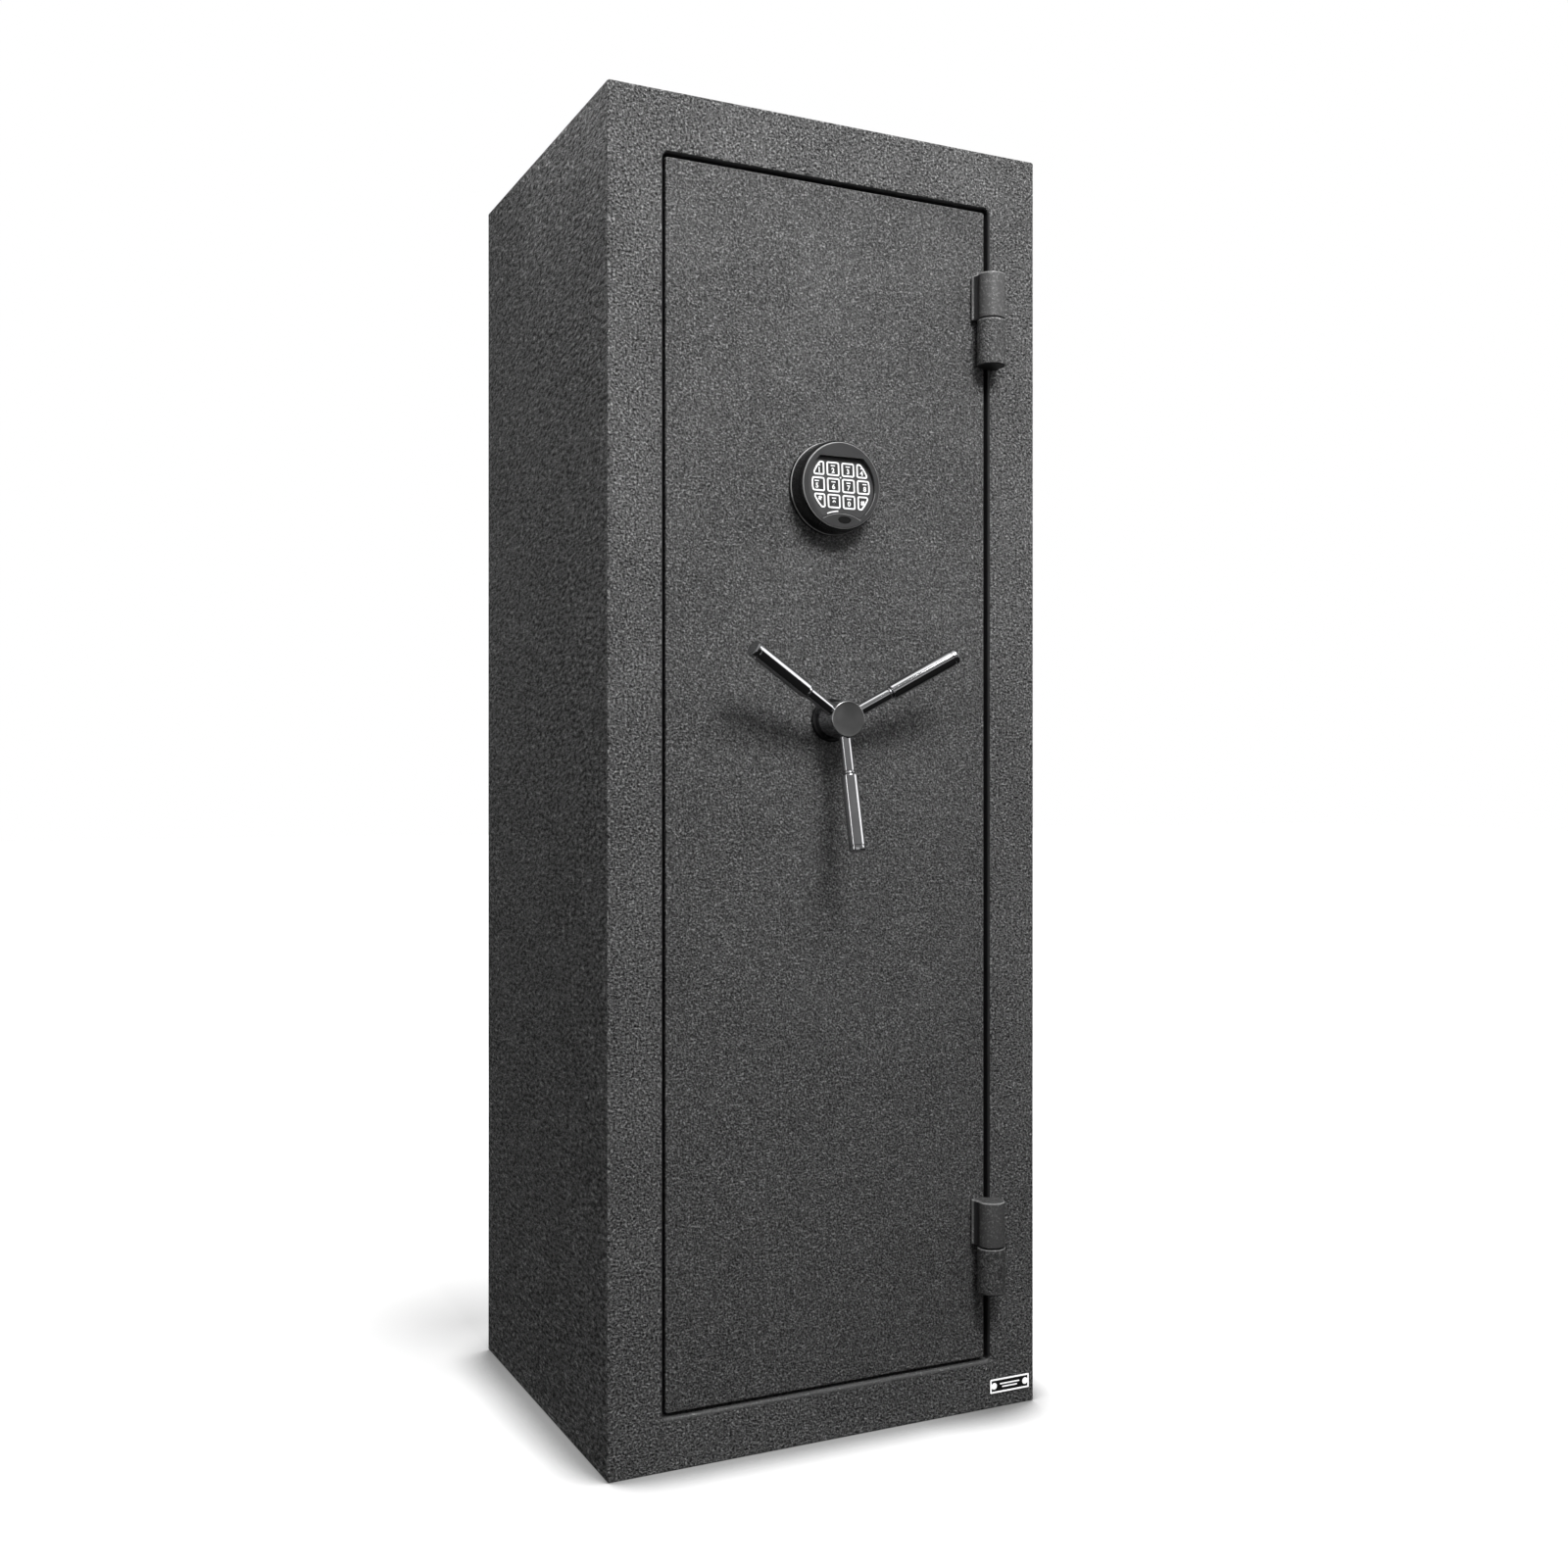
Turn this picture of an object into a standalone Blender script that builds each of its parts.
"""Upright gun safe: a welded steel cabinet lined with fire board and carpet, an inset door on two outside
hinges, a round keypad lock, and a three-spoke handle that throws three bolts.

Units are metres and +Z is up. The origin is the centre of the cabinet's underside, and the door faces -Y.
At rest the door is closed, its bolts and the lock bolt are drawn back, and every key is up.
"""

import math

import bmesh
import bpy
from mathutils import Matrix, Vector

MM = 0.001
GAP = 0.3 * MM  # left between pieces that touch

# Cabinet
WIDTH, DEPTH, HEIGHT = 508 * MM, 431.8 * MM, 1397 * MM
SHEET = 2.7 * MM
BEND = 3 * MM  # outer radius of the folds at the back corners
BOARD = 15.6 * MM  # fire board
LINER = 4 * MM  # carpet on hardboard
FRONT, BACK = -DEPTH / 2, DEPTH / 2
SIDE = WIDTH / 2
INNER_FRONT = FRONT + SHEET + GAP
ANCHOR_X, ANCHOR_Y, ANCHOR_R = 130 * MM, 110 * MM, 7 * MM
FRAME_CORNER = 1.5 * MM

# Door opening, whose edge rolls back into a jamb
JAMB_X = 194 * MM
JAMB_LOW, JAMB_HIGH = 54.9 * MM, 1334 * MM
JAMB_DEPTH = 45 * MM
ROLL = 4.5 * MM
JAMB_CORNER = 4 * MM
SEAL = 2 * MM
SEAL_FRONT, SEAL_BACK = FRONT + 11 * MM, FRONT + 33 * MM

# Interior fittings
SHELF_Z, SHELF_THICK, SHELF_FRONT = 1150 * MM, 16 * MM, -100 * MM
DIVIDER_X, DIVIDER_THICK, DIVIDER_FRONT = 75 * MM, 12 * MM, -80 * MM
SIDE_SHELF_Z = 620 * MM
RACK_Z, RACK_THICK, RACK_DEPTH = 985 * MM, 20 * MM, 75 * MM
RACK_NOTCHES, NOTCH_R = 5, 17 * MM

# Door
DOOR_LEFT, DOOR_RIGHT = -191.5 * MM, 188.5 * MM
DOOR_LOW, DOOR_HIGH = 58.5 * MM, 1330.5 * MM
DOOR_CORNER = 2.5 * MM
DOOR_FACE, DOOR_PLATE = FRONT + 1 * MM, 5 * MM
DOOR_REAR = DOOR_FACE + DOOR_PLATE
PAN_LEFT, PAN_RIGHT, PAN_LOW, PAN_HIGH = -174 * MM, 182 * MM, 72 * MM, 1317 * MM
PAN_SHEET, PAN_FLANGE, PAN_BACK = 2.5 * MM, 14 * MM, -128.5 * MM
DOOR_BOARD = 11.2 * MM
PANEL_THICK, PANEL_CORNER = 6 * MM, 6 * MM
DEAD_FRONT, DEAD_BACK, DEAD_LOW, DEAD_HIGH = -167 * MM, -132 * MM, 180 * MM, 1210 * MM
DEAD_LIP, DEAD_THICK = 25 * MM, 5 * MM

# Hinges
HINGE_X, HINGE_Y = 187 * MM, -232 * MM
HINGE_SPLITS = {"upper": 1206.3 * MM, "lower": 186 * MM}
KNUCKLE = 50.6 * MM
KNUCKLE_GAP = 0.7 * MM
DOOR_KNUCKLE_R, FRAME_KNUCKLE_R = 15 * MM, 15.6 * MM
PIN_R, PIN_HALF = 6 * MM, 40 * MM

# Centre line of the keypad and the handle
CENTRE_X = -4 * MM
KEYPAD_Z = 1008 * MM
HANDLE_Z = 763 * MM

# Boltwork
BOLT_R, BOLT_Y = 12.7 * MM, -156.5 * MM
BOLT_TIP_X = -175 * MM
BOLT_HEIGHTS = (250 * MM, 695 * MM, 1140 * MM)
BOLT_TRAVEL = 32 * MM  # also the crank's throw, for a turn of 60 degrees
BOLT_CLEAR = 0.5 * MM
CARRIER_X, CARRIER_THICK = -108 * MM, 6 * MM
CARRIER_FRONT, CARRIER_BACK = -176 * MM, -144.5 * MM
CARRIER_LOW, CARRIER_HIGH = 190 * MM, 1200 * MM
TAB_LEFT, TAB_RIGHT, TAB_TOP = 5 * MM, 13 * MM, 958 * MM
TAB_ARM_LOW, TAB_ARM_HIGH = 925 * MM, 945 * MM
TAB_FRONT, TAB_THICK = -172 * MM, 5 * MM
CRANK_FRONT, CRANK_BACK = -160 * MM, -152 * MM
CRANK_PIN_R, CRANK_SWING = 5 * MM, math.radians(30)
ARM_FRONT, ARM_BACK = -150.5 * MM, -145.5 * MM
GUIDE_X, GUIDE_THICK = -150 * MM, 3 * MM
GUIDE_FRONT, GUIDE_BACK, GUIDE_LOW, GUIDE_HIGH = -205 * MM, -143 * MM, 170 * MM, 1220 * MM
LOCK_LEFT, LOCK_RIGHT, LOCK_LOW, LOCK_HIGH = -40 * MM, 32 * MM, 962 * MM, 1048 * MM
LOCK_BACK = -163 * MM
LOCK_BOLT_LOW, LOCK_BOLT_HIGH = Vector((-9, -174, 962.4)) * MM, Vector((3, -165, 986)) * MM
LOCK_BOLT_SLACK = 0.4 * MM
HARD_PLATE, HARD_HALF, HARD_LOW, HARD_HIGH = 6 * MM, 70 * MM, 700 * MM, 1080 * MM
HARD_BACK = DOOR_REAR + GAP + HARD_PLATE

# Handle
HUB_R, HUB_PROUD = 19.4 * MM, 40.2 * MM
SPINDLE_R, SPINDLE_SOCKET = 6.35 * MM, 14 * MM
ESCUTCHEON_R, ESCUTCHEON_THICK = 23 * MM, 5 * MM
SPOKE_PROUD, SPOKE_LENGTH, SPOKE_STEP = 27 * MM, 141 * MM, 59.9 * MM
SPOKE_FLARE = math.radians(13.5)
ROD_R, GRIP_R = 6.35 * MM, 8.7 * MM
SOCKET_START = 12 * MM

# Keypad
BASE_R, BASE_THICK, BASE_BORE = 49.4 * MM, 5 * MM, 8 * MM
LEAD_R = 5 * MM  # hole in the door for the keypad's lead
HOUSING_FACE = FRONT - 25.6 * MM
WINDOW_R, WINDOW_CHORD = 39.2 * MM, 30 * MM
LENS_TOP, LENS_R, LENS_DEPTH, LENS_CLEAR = -28.8 * MM, 44.5 * MM, 8 * MM, 0.4 * MM
PANEL_RECESS, PANEL_SLOPE = 3.2 * MM, math.radians(4.5)
KEYPAD_PANEL_THICK = 2 * MM
KEY_PITCH_X, KEY_PITCH_Z, KEY_SIZE = 17.7 * MM, 17.2 * MM, 15.9 * MM
KEY_CIRCLE, KEY_ROUND = 34.7 * MM, 2.8 * MM
KEY_PROUD, KEY_DEPTH = 0.8 * MM, 3 * MM
KEY_ROWS = (("1", "2", "3", "4"), ("5", "6", "7", "8"), ("clear", "9", "0", "enter"))

# Data plate on the frame
DATA_LEFT, DATA_RIGHT, DATA_LOW, DATA_HIGH = 195.2 * MM, 247 * MM, 16.5 * MM, 32.7 * MM
DATA_THICK = 0.8 * MM

ROUND_STEPS = 28  # sides of a plain round piece


# ---------------------------------------------------------------- outlines


def arc(centre, radius, start, end, steps):
    """Points along an arc, with its angles in degrees."""
    angles = (math.radians(start + (end - start) * i / steps) for i in range(steps + 1))
    return [(centre[0] + radius * math.cos(a), centre[1] + radius * math.sin(a)) for a in angles]


def circle(centre, radius, steps=ROUND_STEPS):
    return arc(centre, radius, 0, 360, steps)[:-1]


def rectangle(left, right, low, high):
    return [(left, low), (right, low), (right, high), (left, high)]


def rounded_rectangle(left, right, low, high, radius, steps=3):
    corners = ((left, low, 180), (right, low, 270), (right, high, 0), (left, high, 90))
    outline = []
    for x, z, start in corners:
        inset_x = x + radius if x == left else x - radius
        inset_z = z + radius if z == low else z - radius
        outline += arc((inset_x, inset_z), radius, start, start + 90, steps)
    return outline


def clip(outline, normal, reach):
    """The part of a convex outline where its dot product with normal is at most reach."""
    kept = []
    for a, b in zip(outline, outline[1:] + outline[:1]):
        da = a[0] * normal[0] + a[1] * normal[1] - reach
        db = b[0] * normal[0] + b[1] * normal[1] - reach
        if da <= 0:
            kept.append(a)
        if da * db < 0:
            t = da / (da - db)
            kept.append((a[0] + t * (b[0] - a[0]), a[1] + t * (b[1] - a[1])))
    return kept


def heading(a, b):
    """The direction from a to b, in degrees."""
    return math.degrees(math.atan2(b[1] - a[1], b[0] - a[0]))


def grown(outline, radius, step=30):
    """A convex anticlockwise outline pushed out by radius, with an arc at each corner."""
    result = []
    for i, corner in enumerate(outline):
        arriving = heading(outline[i - 1], corner)
        turn = (heading(corner, outline[(i + 1) % len(outline)]) - arriving) % 360
        start = arriving - 90
        result += arc(corner, radius, start, start + turn, max(1, round(turn / step)))
    return result


# ---------------------------------------------------------------- solids


def from_plane(point, axis, level):
    """A 2D outline point placed on the plane where axis is at level."""
    u, v = point
    return Vector({"X": (level, u, v), "Y": (u, level, v), "Z": (u, v, level)}[axis])


def prism(outline, axis, low, high, holes=()):
    """A plate of the outline, with holes, that runs from low to high along axis."""
    bm = bmesh.new()
    for loop in (outline, *holes):
        verts = [bm.verts.new(from_plane(p, axis, low)) for p in loop]
        for a, b in zip(verts, verts[1:] + verts[:1]):
            bm.edges.new((a, b))
    bmesh.ops.triangle_fill(bm, use_beauty=True, edges=bm.edges[:])
    new = bmesh.ops.extrude_face_region(bm, geom=bm.faces[:])["geom"]
    step = from_plane((0, 0), axis, high - low)
    bmesh.ops.translate(bm, vec=step, verts=[v for v in new if isinstance(v, bmesh.types.BMVert)])
    bmesh.ops.recalc_face_normals(bm, faces=bm.faces[:])
    return bm


def box(low, high):
    return prism(rectangle(low[0], high[0], low[1], high[1]), "Z", low[2], high[2])


def turned(profile, centre, steps=ROUND_STEPS, axis=(0, 1, 0)):
    """A closed profile of (radius, distance along axis) spun about the axis through centre."""
    bm = bmesh.new()
    along = Vector(axis).normalized()
    outward = along.orthogonal().normalized()
    verts = [bm.verts.new(Vector(centre) + outward * r + along * h) for r, h in profile]
    edges = [bm.edges.new(pair) for pair in zip(verts, verts[1:])]
    if profile[0][0] > 0:
        edges.append(bm.edges.new((verts[-1], verts[0])))
    spun = verts + edges
    bmesh.ops.spin(bm, geom=spun, cent=centre, axis=along, angle=math.tau, steps=steps, use_merge=True)
    bmesh.ops.remove_doubles(bm, verts=bm.verts[:], dist=1e-6)
    bmesh.ops.recalc_face_normals(bm, faces=bm.faces[:])
    return bm


def swept(rings):
    """A frame: each ring of points joined to the next, and the last one to the first."""
    bm = bmesh.new()
    loops = [[bm.verts.new(p) for p in ring] for ring in rings]
    for first, second in zip(loops, loops[1:] + loops[:1]):
        for i, a in enumerate(first):
            j = (i + 1) % len(first)
            bm.faces.new((a, first[j], second[j], second[i]))
    bmesh.ops.recalc_face_normals(bm, faces=bm.faces[:])
    return bm


def tilt_panel(bm):
    """Moves a shape made about the keypad's centre, with its face at y = 0, onto the sloping key panel."""
    place = Matrix.Translation((CENTRE_X, HOUSING_FACE + PANEL_RECESS, KEYPAD_Z))
    tilt = Matrix.Rotation(-PANEL_SLOPE, 4, "X")
    bmesh.ops.transform(bm, matrix=place @ tilt, verts=bm.verts[:])
    return bm


# ---------------------------------------------------------------- objects


def clear_scene():
    for thing in list(bpy.data.objects):
        bpy.data.objects.remove(thing, do_unlink=True)


def material(name, colour, roughness, metallic):
    made = bpy.data.materials.get(name)
    if made is None:
        made = bpy.data.materials.new(name)
        made.use_nodes = True
        shader = made.node_tree.nodes["Principled BSDF"]
        shader.inputs["Base Color"].default_value = (*colour, 1)
        shader.inputs["Roughness"].default_value = roughness
        shader.inputs["Metallic"].default_value = metallic
    return made


def charcoal_paint():
    return material("charcoal_paint", (0.075, 0.075, 0.075), 0.6, 0.0)


def inner_paint():
    return material("inner_paint", (0.02, 0.02, 0.02), 0.5, 0.0)


def fire_board():
    return material("fire_board", (0.72, 0.66, 0.6), 0.9, 0.0)


def carpet():
    return material("carpet", (0.12, 0.12, 0.125), 1.0, 0.0)


def bright_steel():
    return material("bright_steel", (0.55, 0.56, 0.58), 0.3, 1.0)


def dark_chrome():
    return material("dark_chrome", (0.16, 0.16, 0.17), 0.12, 1.0)


def black_plastic():
    return material("black_plastic", (0.012, 0.012, 0.013), 0.3, 0.0)


def key_rubber():
    return material("key_rubber", (0.02, 0.02, 0.02), 0.6, 0.0)


def brass():
    return material("brass", (0.6, 0.45, 0.2), 0.35, 1.0)


def seal_rubber():
    return material("seal_rubber", (0.015, 0.015, 0.015), 0.85, 0.0)


def plate_print():
    return material("plate_print", (0.3, 0.3, 0.3), 0.4, 0.6)


def link(name, bm, location, parent):
    mesh = bpy.data.meshes.new(name)
    bmesh.ops.translate(bm, vec=-Vector(location), verts=bm.verts[:])
    bm.to_mesh(mesh)
    bm.free()
    thing = bpy.data.objects.new(name, mesh)
    bpy.context.scene.collection.objects.link(thing)
    thing.parent = parent
    thing.location = Vector(location) - (parent.location if parent else Vector())
    return thing


def piece(name, bm, finish, parent=None, location=None):
    """An object whose origin is its parent's, or at a location of its own, both in world coordinates."""
    if location is None:
        location = parent.location if parent else (0, 0, 0)
    thing = link(name, bm, location, parent)
    thing.data.materials.append(finish)
    thing.data.shade_smooth()
    thing.data.set_sharp_from_angle(angle=math.radians(32))
    return thing


def combine(thing, bm, operation="DIFFERENCE"):
    """Adds an exact Boolean with a hidden helper."""
    helper = link(f"{thing.name}_{operation.lower()}", bm, (0, 0, 0), None)
    helper.hide_render = True
    helper.display_type = "WIRE"
    modifier = thing.modifiers.new("shape", "BOOLEAN")
    modifier.operation = operation
    modifier.object = helper
    modifier.solver = "EXACT"


def pivot(name, location):
    """An empty on a joint's axis, which the moving pieces hang from."""
    empty = bpy.data.objects.new(name, None)
    empty.location = location
    bpy.context.scene.collection.objects.link(empty)
    return empty


# ---------------------------------------------------------------- cabinet


def footprint(inset, front):
    """The cabinet's outline from above, inset from its sides and back, with its back corners folded."""
    side, back, radius = SIDE - inset, BACK - inset, BEND - inset if inset < BEND else 0
    if radius <= 0:
        return rectangle(-side, side, front, back)
    right = arc((side - radius, back - radius), radius, 0, 90, 4)
    left = arc((-side + radius, back - radius), radius, 90, 180, 4)
    return [(-side, front), (side, front), *right, *left]


def body_shell():
    """Sides and back in one folded sheet, closed by a top plate and a floor plate with anchor holes."""
    outer, inner = footprint(0, INNER_FRONT), footprint(SHEET, INNER_FRONT)
    wrap = outer[1:] + outer[:1] + inner[:1] + inner[1:][::-1]
    piece("body_wrap", prism(wrap, "Z", SHEET + GAP, HEIGHT - SHEET - GAP), charcoal_paint())
    piece("top_plate", prism(outer, "Z", HEIGHT - SHEET, HEIGHT), charcoal_paint())
    piece("floor_plate", prism(outer, "Z", 0, SHEET, anchor_holes(ANCHOR_R)), charcoal_paint())


def anchor_holes(radius):
    return [circle((x, y), radius, 16) for x in (-ANCHOR_X, ANCHOR_X) for y in (-ANCHOR_Y, ANCHOR_Y)]


def opening_ring(grow, y, radius):
    """A ring of points parallel to the opening's jamb, pushed outwards by grow."""
    outline = rounded_rectangle(-JAMB_X - grow, JAMB_X + grow, JAMB_LOW - grow, JAMB_HIGH + grow, radius, 4)
    return [from_plane(p, "Y", y) for p in outline]


def door_frame():
    """The front frame, a plate that rolls back into the jamb round the opening."""
    outer = rounded_rectangle(-SIDE, SIDE, 0, HEIGHT, FRAME_CORNER, 4)
    rings = [[from_plane(p, "Y", y) for p in outer] for y in (FRONT + SHEET, FRONT)]
    for grow, back in arc((ROLL, ROLL), ROLL, 270, 180, 4):
        rings.append(opening_ring(grow, FRONT + back, JAMB_CORNER + grow))
    rings.append(opening_ring(0, FRONT + JAMB_DEPTH, JAMB_CORNER))
    rings.append(opening_ring(SHEET, FRONT + JAMB_DEPTH, JAMB_CORNER + SHEET))
    for grow, back in arc((ROLL, ROLL), ROLL - SHEET, 180, 270, 2):
        rings.append(opening_ring(grow, FRONT + back, JAMB_CORNER + grow))
    piece("door_frame", swept(rings), charcoal_paint())


def door_seal():
    """The heat-swelling strip glued round the jamb."""
    places = ((-GAP, SEAL_FRONT), (-GAP, SEAL_BACK), (-GAP - SEAL, SEAL_BACK), (-GAP - SEAL, SEAL_FRONT))
    rings = [opening_ring(grow, y, JAMB_CORNER + grow) for grow, y in places]
    piece("door_seal", swept(rings), seal_rubber())


def fire_boards():
    side_out = SIDE - SHEET - GAP
    side_in = side_out - BOARD
    back_out = BACK - SHEET - GAP
    floor_low, top_high = SHEET + GAP, HEIGHT - SHEET - GAP
    floor_high, top_low = floor_low + BOARD, top_high - BOARD
    flat = rectangle(-side_out, side_out, INNER_FRONT, back_out)
    piece("fireboard_floor", prism(flat, "Z", floor_low, floor_high, anchor_holes(ANCHOR_R)), fire_board())
    piece("fireboard_top", prism(flat, "Z", top_low, top_high), fire_board())
    low, high = floor_high + GAP, top_low - GAP
    for name, left, right in (("left", -side_out, -side_in), ("right", side_in, side_out)):
        board = box((left, INNER_FRONT, low), (right, back_out, high))
        piece(f"fireboard_{name}", board, fire_board())
    back = box((-side_in + GAP, back_out - BOARD, low), (side_in - GAP, back_out, high))
    piece("fireboard_back", back, fire_board())


def room():
    """Low and high corners of the space inside the fire boards, less the gap to them."""
    wall = SHEET + BOARD + 3 * GAP
    return Vector((-SIDE + wall, INNER_FRONT, wall)), Vector((SIDE - wall, BACK - wall, HEIGHT - wall))


def liners():
    """Carpeted panels: a floor, and a shell for the sides, back and top."""
    low, high = room()
    floor = box(low, (high.x, high.y, low.z + LINER))
    piece("liner_floor", floor, carpet())
    shell_low = low.z + LINER + GAP
    shell = piece("liner_shell", box((low.x, low.y, shell_low), high), carpet())
    past = 10 * MM
    hollow_low = (low.x + LINER, low.y - past, shell_low - past)
    hollow_high = (high.x - LINER, high.y - LINER, high.z - LINER)
    combine(shell, box(hollow_low, hollow_high))


def interior():
    """Shelf, upright divider, half-width shelf and barrel rack, all carpeted."""
    low, high = room()
    left, right = low.x + LINER + GAP, high.x - LINER - GAP
    back = high.y - LINER - GAP
    floor = low.z + LINER + GAP
    shelf = box((left, SHELF_FRONT, SHELF_Z), (right, back, SHELF_Z + SHELF_THICK))
    piece("top_shelf", shelf, carpet())
    divider_right = DIVIDER_X + DIVIDER_THICK
    divider = box((DIVIDER_X, DIVIDER_FRONT, floor), (divider_right, back, SHELF_Z - GAP))
    piece("divider", divider, carpet())
    half_low = (divider_right + GAP, DIVIDER_FRONT, SIDE_SHELF_Z)
    half_shelf = box(half_low, (right, back, SIDE_SHELF_Z + DIVIDER_THICK))
    piece("side_shelf", half_shelf, carpet())
    barrel_rack(left, DIVIDER_X - GAP, back)


def barrel_rack(left, right, back):
    """A padded rail with a row of half-round notches for barrels."""
    front = back - RACK_DEPTH
    pitch = (right - left) / RACK_NOTCHES
    edge = [(right, front)]
    for i in reversed(range(RACK_NOTCHES)):
        x, y = left + (i + 0.5) * pitch, front + NOTCH_R / 2
        edge += [(x + NOTCH_R, front), *arc((x, y), NOTCH_R, 0, 180, 8), (x - NOTCH_R, front)]
    edge.append((left, front))
    rail = prism([(left, back), (right, back), *edge], "Z", RACK_Z, RACK_Z + RACK_THICK)
    piece("barrel_rack", rail, carpet())


def data_plate():
    outline = rounded_rectangle(DATA_LEFT, DATA_RIGHT, DATA_LOW, DATA_HIGH, 1 * MM)
    plate = prism(outline, "Y", FRONT - GAP - DATA_THICK, FRONT - GAP)
    piece("data_plate", plate, plate_print())


# ---------------------------------------------------------------- hinges


def knuckle_outline(side, radius, foot):
    """A barrel with a foot that runs back and sideways to the face it is welded to, from above."""
    lobe = 4 * MM
    reach, heel = 13 * MM, 1 * MM
    barrel = arc((0, 0), radius, 160, 430, 18)
    corner = (-reach, foot - lobe)
    outline = [*barrel, (heel, foot), *arc(corner, lobe, 90, 225, 4)]
    if side == "frame":
        outline = [(-x, y) for x, y in reversed(outline)]
    return [(HINGE_X + x, HINGE_Y + y) for x, y in outline]


def hinge(where, split, axis):
    """One two-knuckle hinge: the upper knuckle rides on the door, and the lower one holds the pin."""
    half = KNUCKLE_GAP / 2
    bore = PIN_R + GAP
    depth = PIN_HALF + GAP
    centre = (HINGE_X, HINGE_Y, split)
    bottom = knuckle_outline("frame", FRAME_KNUCKLE_R, FRONT - GAP - HINGE_Y)
    lower = prism(bottom, "Z", split - KNUCKLE, split - half)
    top = knuckle_outline("door", DOOR_KNUCKLE_R, DOOR_FACE - GAP - HINGE_Y)
    upper = prism(top, "Z", split + half, split + KNUCKLE)
    frame_knuckle = piece(f"hinge_frame_knuckle_{where}", lower, charcoal_paint())
    door_knuckle = piece(f"hinge_door_knuckle_{where}", upper, charcoal_paint(), axis)
    for knuckle in (frame_knuckle, door_knuckle):
        hole = prism(circle((HINGE_X, HINGE_Y), bore), "Z", split - depth, split + depth)
        combine(knuckle, hole)
    bevel = 1 * MM
    profile = [
        (0, -PIN_HALF),
        (PIN_R, -PIN_HALF),
        (PIN_R, PIN_HALF - bevel),
        (PIN_R - bevel, PIN_HALF),
        (0, PIN_HALF),
    ]
    piece(f"hinge_pin_{where}", turned(profile, centre, axis=(0, 0, 1)), bright_steel())


# ---------------------------------------------------------------- door


def door_plate(axis):
    """The door's face, and the hard plate behind it that guards the lock and the spindle."""
    outline = rounded_rectangle(DOOR_LEFT, DOOR_RIGHT, DOOR_LOW, DOOR_HIGH, DOOR_CORNER)
    holes = [
        circle((CENTRE_X, HANDLE_Z), SPINDLE_R + GAP, 20),
        circle((CENTRE_X, KEYPAD_Z), LEAD_R, 16),
    ]
    piece("door_plate", prism(outline, "Y", DOOR_FACE, DOOR_REAR, holes), charcoal_paint(), axis)
    outline = rectangle(CENTRE_X - HARD_HALF, CENTRE_X + HARD_HALF, HARD_LOW, HARD_HIGH)
    plate = prism(outline, "Y", DOOR_REAR + GAP, HARD_BACK, holes)
    piece("hard_plate", plate, bright_steel(), axis)


def door_pan(axis):
    """The folded steel pan behind the door plate, with a hole for each bolt in its left wall."""
    front = DOOR_REAR + GAP
    lip = PAN_BACK - PAN_SHEET
    profile = (
        (0, front),
        (0, PAN_BACK),
        (PAN_FLANGE, PAN_BACK),
        (PAN_FLANGE, lip),
        (PAN_SHEET, lip),
        (PAN_SHEET, front),
    )
    rings = []
    for inset, y in profile:
        outline = rectangle(PAN_LEFT + inset, PAN_RIGHT - inset, PAN_LOW + inset, PAN_HIGH - inset)
        rings.append([from_plane(p, "Y", y) for p in outline])
    pan = piece("door_pan", swept(rings), inner_paint(), axis)
    margin = 5 * MM
    for z in BOLT_HEIGHTS:
        hole = circle((BOLT_Y, z), BOLT_R + BOLT_CLEAR)
        combine(pan, prism(hole, "X", PAN_LEFT - margin, PAN_LEFT + margin))


def door_back(axis):
    """Fire board inside the pan, and the carpeted panel that covers the pan."""
    inset = PAN_SHEET + GAP
    high_y = PAN_BACK - PAN_SHEET - GAP
    low = (PAN_LEFT + inset, high_y - DOOR_BOARD, PAN_LOW + inset)
    board = box(low, (PAN_RIGHT - inset, high_y, PAN_HIGH - inset))
    piece("door_fireboard", board, fire_board(), axis)
    outline = rounded_rectangle(PAN_LEFT, PAN_RIGHT, PAN_LOW, PAN_HIGH, PANEL_CORNER)
    panel = prism(outline, "Y", PAN_BACK + GAP, PAN_BACK + GAP + PANEL_THICK)
    piece("inner_panel", panel, carpet(), axis)


def dead_bar(axis):
    """The fixed angle on the hinge side that hooks behind the jamb."""
    left = PAN_RIGHT + GAP
    angle = [
        (left, DEAD_FRONT),
        (left + DEAD_LIP, DEAD_FRONT),
        (left + DEAD_LIP, DEAD_FRONT + DEAD_THICK),
        (left + DEAD_THICK, DEAD_FRONT + DEAD_THICK),
        (left + DEAD_THICK, DEAD_BACK),
        (left, DEAD_BACK),
    ]
    piece("dead_bar", prism(angle, "Z", DEAD_LOW, DEAD_HIGH), bright_steel(), axis)


def bolt_guide(axis):
    """An upright plate with a hole that steadies each bolt."""
    outline = rectangle(GUIDE_FRONT, GUIDE_BACK, GUIDE_LOW, GUIDE_HIGH)
    holes = [circle((BOLT_Y, z), BOLT_R + BOLT_CLEAR) for z in BOLT_HEIGHTS]
    plate = prism(outline, "X", GUIDE_X, GUIDE_X + GUIDE_THICK, holes)
    piece("bolt_guide", plate, bright_steel(), axis)


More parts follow.
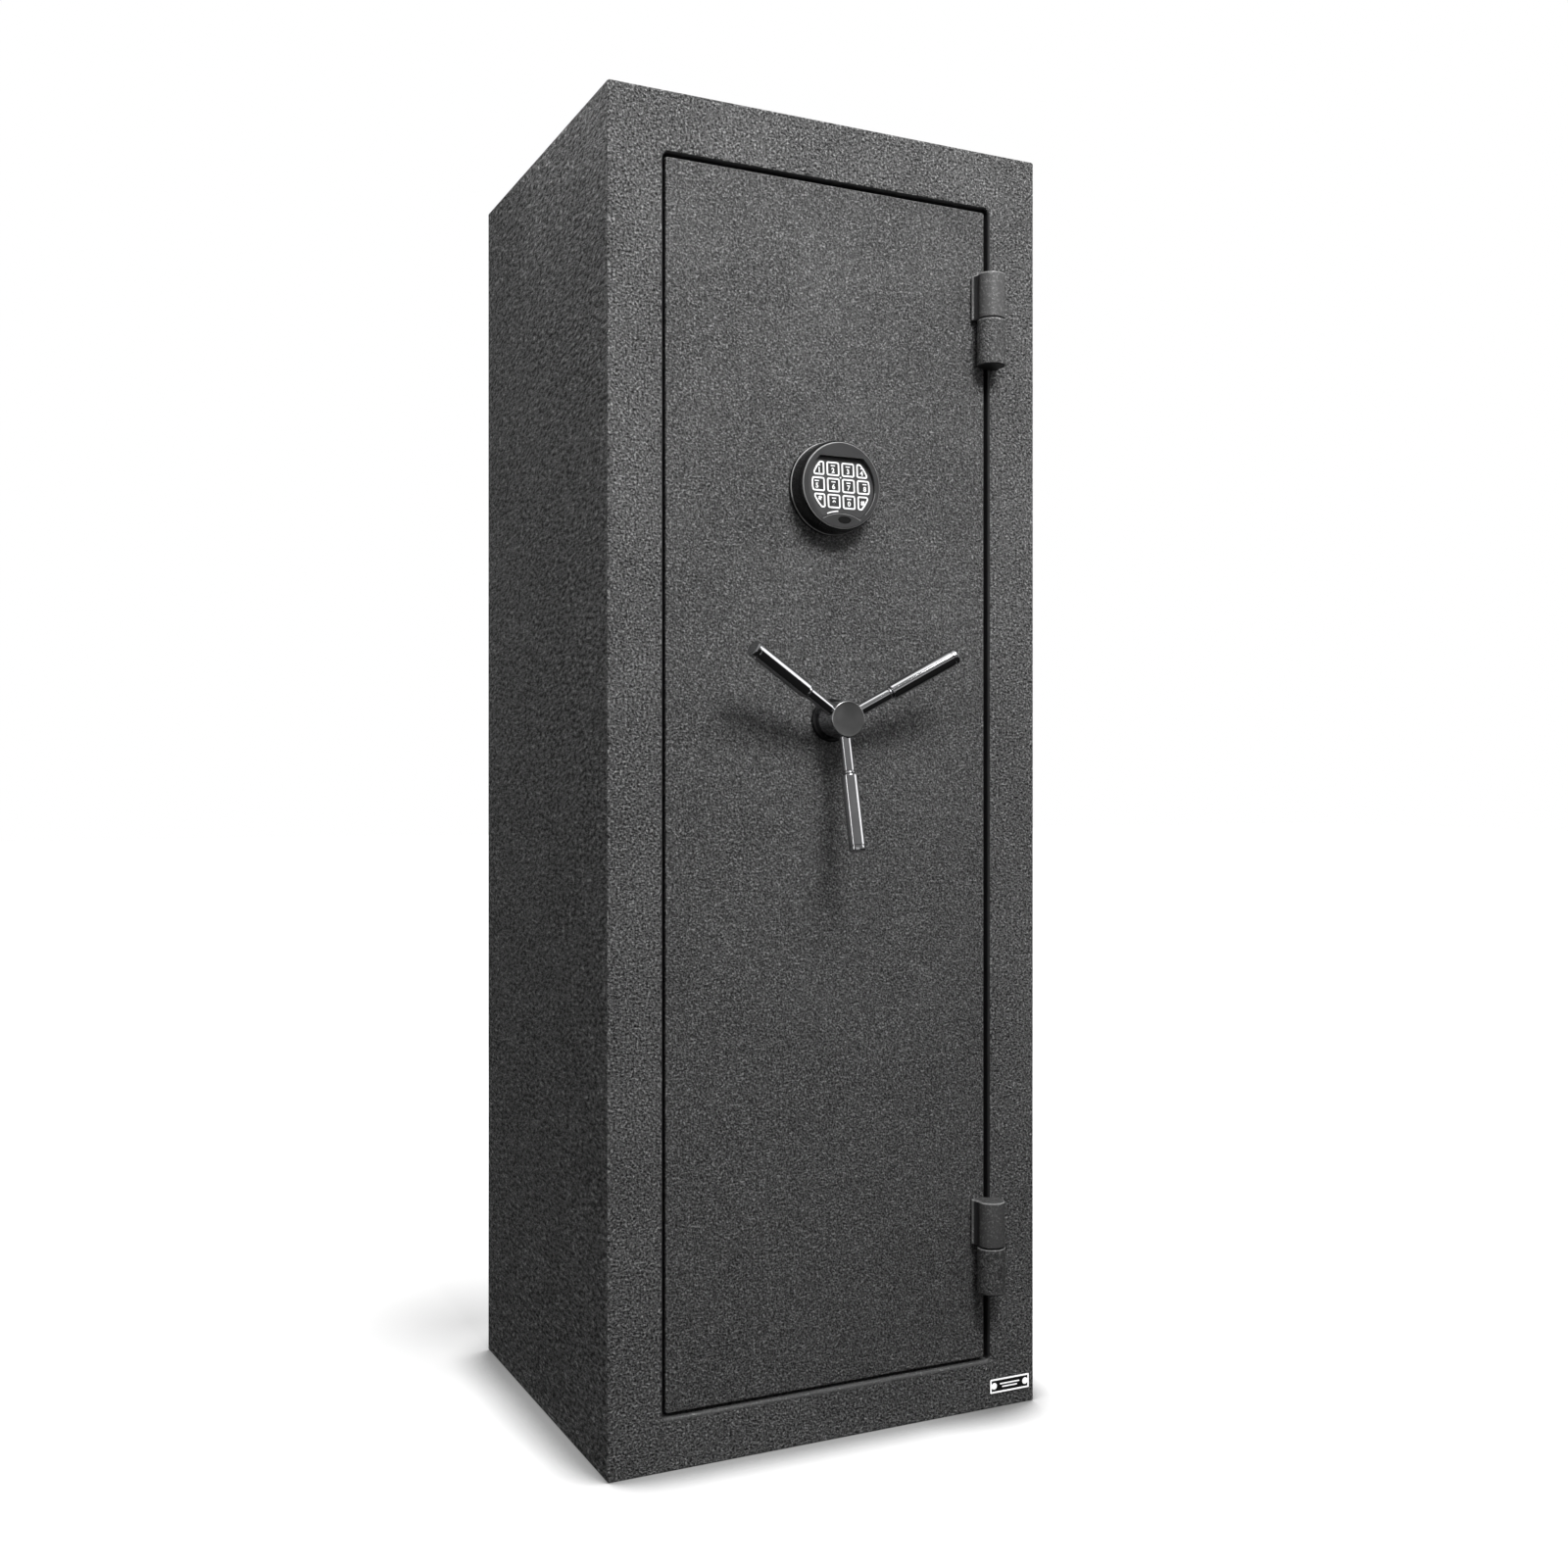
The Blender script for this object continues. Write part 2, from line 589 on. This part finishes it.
def lock(axis):
    """The lock case behind the keypad, and the bolt it drops beside the boltwork's tab."""
    low, high = (LOCK_LEFT, HARD_BACK + GAP, LOCK_LOW), (LOCK_RIGHT, LOCK_BACK, LOCK_HIGH)
    case = piece("lock_case", box(low, high), bright_steel(), axis)
    slack = Vector((1, 1, 1)) * LOCK_BOLT_SLACK
    past = Vector((0, 0, 10)) * MM
    combine(case, box(LOCK_BOLT_LOW - slack - past, LOCK_BOLT_HIGH + slack))
    slide = pivot("lock_bolt_slide", LOCK_BOLT_LOW)
    piece("lock_bolt", box(LOCK_BOLT_LOW, LOCK_BOLT_HIGH), brass(), slide)


# ---------------------------------------------------------------- boltwork


def boltwork(axis):
    """The carrier, the tab that the lock bolt stops, the arm that the crank drives, and the bolts."""
    low = (CARRIER_X, CARRIER_FRONT, CARRIER_LOW)
    high = (CARRIER_X + CARRIER_THICK, CARRIER_BACK, CARRIER_HIGH)
    piece("carrier_bar", box(low, high), bright_steel(), axis)
    lock_tab(axis)
    drive_arm(axis)
    length = CARRIER_X - GAP - BOLT_TIP_X
    bevel = 2 * MM
    profile = [(0, 0), (BOLT_R - bevel, 0), (BOLT_R, bevel), (BOLT_R, length), (0, length)]
    for number, z in enumerate(BOLT_HEIGHTS, 1):
        bolt = turned(profile, (BOLT_TIP_X, BOLT_Y, z), axis=(1, 0, 0))
        piece(f"live_bolt_{number}", bolt, bright_steel(), axis)


def lock_tab(axis):
    """A flat arm fixed to the carrier, whose upturned end the lock bolt drops beside."""
    left = CARRIER_X + CARRIER_THICK + GAP
    outline = [
        (left, TAB_ARM_LOW),
        (TAB_RIGHT, TAB_ARM_LOW),
        (TAB_RIGHT, TAB_TOP),
        (TAB_LEFT, TAB_TOP),
        (TAB_LEFT, TAB_ARM_HIGH),
        (left, TAB_ARM_HIGH),
    ]
    piece("lock_tab", prism(outline, "Y", TAB_FRONT, TAB_FRONT + TAB_THICK), bright_steel(), axis)


def drive_arm(axis):
    """A plate with an upright slot, which the crank pin pushes sideways."""
    pin_x = CENTRE_X + BOLT_TRAVEL / 2
    pin_low = HANDLE_Z + BOLT_TRAVEL * math.cos(CRANK_SWING)
    pin_high = HANDLE_Z + BOLT_TRAVEL
    play = CRANK_PIN_R + BOLT_CLEAR
    border = 8 * MM
    slot = [
        *arc((pin_x, pin_low), play, 180, 360, 8),
        *arc((pin_x, pin_high), play, 0, 180, 8),
    ]
    outline = rounded_rectangle(
        CARRIER_X + CARRIER_THICK + GAP,
        pin_x + play + border,
        pin_low - play - border,
        pin_high + play + border,
        4 * MM,
    )
    piece("drive_arm", prism(outline, "Y", ARM_FRONT, ARM_BACK, [slot]), bright_steel(), axis)


# ---------------------------------------------------------------- handle


def spoke_direction(turn):
    """The way a spoke points: turn is its angle from +X seen from the front, and it leans forward."""
    across = math.cos(SPOKE_FLARE)
    return Vector((across * math.cos(turn), -math.sin(SPOKE_FLARE), across * math.sin(turn)))


def handle(turn):
    """Hub, spokes and spindle, all on the handle's own pivot."""
    root = Vector((CENTRE_X, FRONT - SPOKE_PROUD, HANDLE_Z))
    hub_back = DOOR_FACE - GAP - ESCUTCHEON_THICK - GAP
    hub_front = FRONT - HUB_PROUD
    edge = 1.5 * MM
    profile = [
        (0, hub_front),
        (HUB_R - edge, hub_front),
        (HUB_R, hub_front + edge),
        (HUB_R, hub_back),
        (SPINDLE_R + GAP, hub_back),
        (SPINDLE_R + GAP, hub_back - SPINDLE_SOCKET),
        (0, hub_back - SPINDLE_SOCKET),
    ]
    hub = piece("handle_hub", turned(profile, (CENTRE_X, 0, HANDLE_Z), 36), dark_chrome(), turn)
    bore, reach = ROD_R + GAP, 1.5 * HUB_R
    socket = [(0, SOCKET_START), (bore, SOCKET_START), (bore, reach), (0, reach)]
    for name, angle in (("lower", -90), ("right", 30), ("left", 150)):
        way = spoke_direction(math.radians(angle))
        combine(hub, turned(socket, root, 20, way))
        piece(f"spoke_{name}", spoke(root, way), dark_chrome(), turn)
    spindle(turn, hub_back - SPINDLE_SOCKET + GAP)


def spoke(root, way):
    """A rod that threads into the hub, with a groove and then a thicker grip."""
    groove, bevel = 1 * MM, 1.5 * MM
    profile = [
        (0, SOCKET_START + GAP),
        (ROD_R, SOCKET_START + GAP),
        (ROD_R, SPOKE_STEP - 2 * groove),
        (ROD_R - groove, SPOKE_STEP - 2 * groove),
        (ROD_R - groove, SPOKE_STEP - groove),
        (ROD_R, SPOKE_STEP - groove),
        (GRIP_R, SPOKE_STEP + groove),
        (GRIP_R, SPOKE_LENGTH - bevel),
        (GRIP_R - bevel, SPOKE_LENGTH),
        (0, SPOKE_LENGTH),
    ]
    return turned(profile, root, 20, way)


def spindle(turn, front):
    """The shaft through the door, with a short crank welded on its end whose pin drives the boltwork."""
    back = CRANK_BACK + 1.5 * MM
    profile = [(0, front), (SPINDLE_R, front), (SPINDLE_R, back), (0, back)]
    shaft = piece("spindle", turned(profile, (CENTRE_X, 0, HANDLE_Z), 20), bright_steel(), turn)
    lean = math.pi / 2 - CRANK_SWING
    pin = (CENTRE_X + BOLT_TRAVEL * math.cos(lean), HANDLE_Z + BOLT_TRAVEL * math.sin(lean))
    root_r, tip_r = 13 * MM, 9 * MM
    lean = math.degrees(lean)
    outline = [
        *arc((CENTRE_X, HANDLE_Z), root_r, lean + 90, lean + 270, 12),
        *arc(pin, tip_r, lean - 90, lean + 90, 10),
    ]
    combine(shaft, prism(outline, "Y", CRANK_FRONT, CRANK_BACK), "UNION")
    pin_front, pin_back = CRANK_FRONT + 2 * MM, ARM_BACK + 2.3 * MM
    combine(shaft, prism(circle(pin, CRANK_PIN_R, 20), "Y", pin_front, pin_back), "UNION")


def escutcheon(axis):
    """The black collar on the door that the spindle turns in."""
    back = DOOR_FACE - GAP
    front = back - ESCUTCHEON_THICK
    bore = SPINDLE_R + GAP
    profile = [
        (bore, back),
        (bore, front),
        (ESCUTCHEON_R - 1.5 * MM, front),
        (ESCUTCHEON_R, front + 1.5 * MM),
        (ESCUTCHEON_R, back),
    ]
    piece("handle_escutcheon", turned(profile, (CENTRE_X, 0, HANDLE_Z), 36), black_plastic(), axis)


# ---------------------------------------------------------------- keypad


def keypad_point(x, z):
    return CENTRE_X + x, KEYPAD_Z + z


def housing_solid(back):
    """The housing before it is cut: a low drum with a rounded front edge."""
    face = HOUSING_FACE
    profile = [
        (0, back),
        (BASE_R - 1 * MM, back),
        (BASE_R - 1.6 * MM, face + 9 * MM),
        (BASE_R - 2.6 * MM, face + 3.4 * MM),
        (BASE_R - 4 * MM, face + 1 * MM),
        (BASE_R - 5.6 * MM, face),
        (0, face),
    ]
    return turned(profile, (CENTRE_X, 0, KEYPAD_Z), 48)


def window_outline(radius, chord, lens_rise=0.0):
    """The key window: a disc cut by a chord above and by the battery cover's arc below."""
    top = math.degrees(math.asin(chord / radius))
    lens_centre = LENS_TOP - LENS_R
    lens = LENS_R + lens_rise
    # The two circles cross where both distances match.
    cross_z = (radius**2 - lens**2 + lens_centre**2) / (2 * lens_centre)
    low = math.degrees(math.asin(cross_z / radius))
    cross_x = math.sqrt(radius**2 - cross_z**2)
    half = math.degrees(math.atan2(cross_x, cross_z - lens_centre))
    right = arc((0, 0), radius, low, top, 16)
    left = [(-x, z) for x, z in reversed(right)]
    under = arc((0, lens_centre), lens, 90 + half, 90 - half, 8)[1:-1]
    return right + left + under


def lens_outline(shrink):
    """The battery cover's outline, which runs out past the housing's lower edge."""
    lens_centre = LENS_TOP - LENS_R
    half, past = 32, 6 * MM  # degrees each side of upright, and how far it runs past the edge
    top = arc((0, lens_centre), LENS_R - shrink, 90 - half, 90 + half, 10)
    side, low = top[0][0], -BASE_R - past
    return [keypad_point(x, z) for x, z in [*top, (-side, low), (side, low)]]


def keypad_body(axis, slide):
    """Base ring, housing with its window, and the battery cover that slides down out of it."""
    back = DOOR_FACE - GAP
    front = back - BASE_THICK
    rim, margin = 1.2 * MM, 5 * MM
    ring = [
        (BASE_BORE, back),
        (BASE_BORE, front),
        (BASE_R - rim, front),
        (BASE_R, front + rim),
        (BASE_R, back),
    ]
    piece("keypad_base", turned(ring, (CENTRE_X, 0, KEYPAD_Z), 48), black_plastic(), axis)
    housing_back = front - GAP
    pocket_front, pocket_back = HOUSING_FACE - margin, HOUSING_FACE + LENS_DEPTH
    housing = piece("keypad_housing", housing_solid(housing_back), black_plastic(), axis)
    # The window runs a little into the cover's pocket, so that the two cuts share no face.
    window = [keypad_point(x, z) for x, z in window_outline(WINDOW_R, WINDOW_CHORD, -1 * MM)]
    combine(housing, prism(window, "Y", pocket_front, housing_back + margin))
    combine(housing, prism(lens_outline(0), "Y", pocket_front, pocket_back))
    cover = piece("battery_cover", housing_solid(housing_back), black_plastic(), slide)
    lens = prism(lens_outline(LENS_CLEAR), "Y", pocket_front, pocket_back - GAP)
    combine(cover, lens, "INTERSECT")


def key_outline(column, row, shrink=0.0):
    """A key's outline: a square cell cut by a circle, with its corners rounded."""
    x, z = (column - 1.5) * KEY_PITCH_X, (1 - row) * KEY_PITCH_Z
    half = KEY_SIZE / 2 - KEY_ROUND
    outer = 1 * MM if column in (0, 3) else 0
    left = half + (outer if column == 0 else 0)
    right = half + (outer if column == 3 else 0)
    outline = rectangle(x - left, x + right, z - half, z + half)
    for x, z in circle((0, 0), 1, 36):
        outline = clip(outline, (x, z), KEY_CIRCLE - KEY_ROUND)
    return grown(outline, KEY_ROUND - shrink)


def keys(axis):
    """The sloping panel with a hole for each key, and the twelve keys, each on its own slide."""
    cells = [(name, column, row) for row, names in enumerate(KEY_ROWS) for column, name in enumerate(names)]
    clear = GAP + 0.05 * MM
    edge = window_outline(WINDOW_R - clear, WINDOW_CHORD - clear, clear)
    holes = [key_outline(column, row) for _, column, row in cells]
    panel = tilt_panel(prism(edge, "Y", 0, KEYPAD_PANEL_THICK, holes))
    piece("keypad_panel", panel, key_rubber(), axis)
    for name, column, row in cells:
        shape = tilt_panel(prism(key_outline(column, row, clear), "Y", -KEY_PROUD, KEY_DEPTH))
        corners = [v.co for v in shape.verts]
        middle = sum(corners, Vector()) / len(corners)
        slide = pivot(f"key_slide_{name}", middle)
        piece(f"key_{name}", shape, key_rubber(), slide)


def main():
    clear_scene()
    body_shell()
    door_frame()
    door_seal()
    fire_boards()
    liners()
    interior()
    data_plate()

    door_axis = pivot("door_axis", (HINGE_X, HINGE_Y, 0))
    for where, split in HINGE_SPLITS.items():
        hinge(where, split, door_axis)
    door_plate(door_axis)
    door_pan(door_axis)
    door_back(door_axis)
    dead_bar(door_axis)
    bolt_guide(door_axis)
    lock(door_axis)
    escutcheon(door_axis)

    boltwork(pivot("boltwork_slide", (CARRIER_X, BOLT_Y, HANDLE_Z)))
    handle(pivot("handle_axis", (CENTRE_X, FRONT, HANDLE_Z)))
    keypad_body(door_axis, pivot("battery_cover_slide", (CENTRE_X, HOUSING_FACE, KEYPAD_Z + LENS_TOP)))
    keys(door_axis)


main()
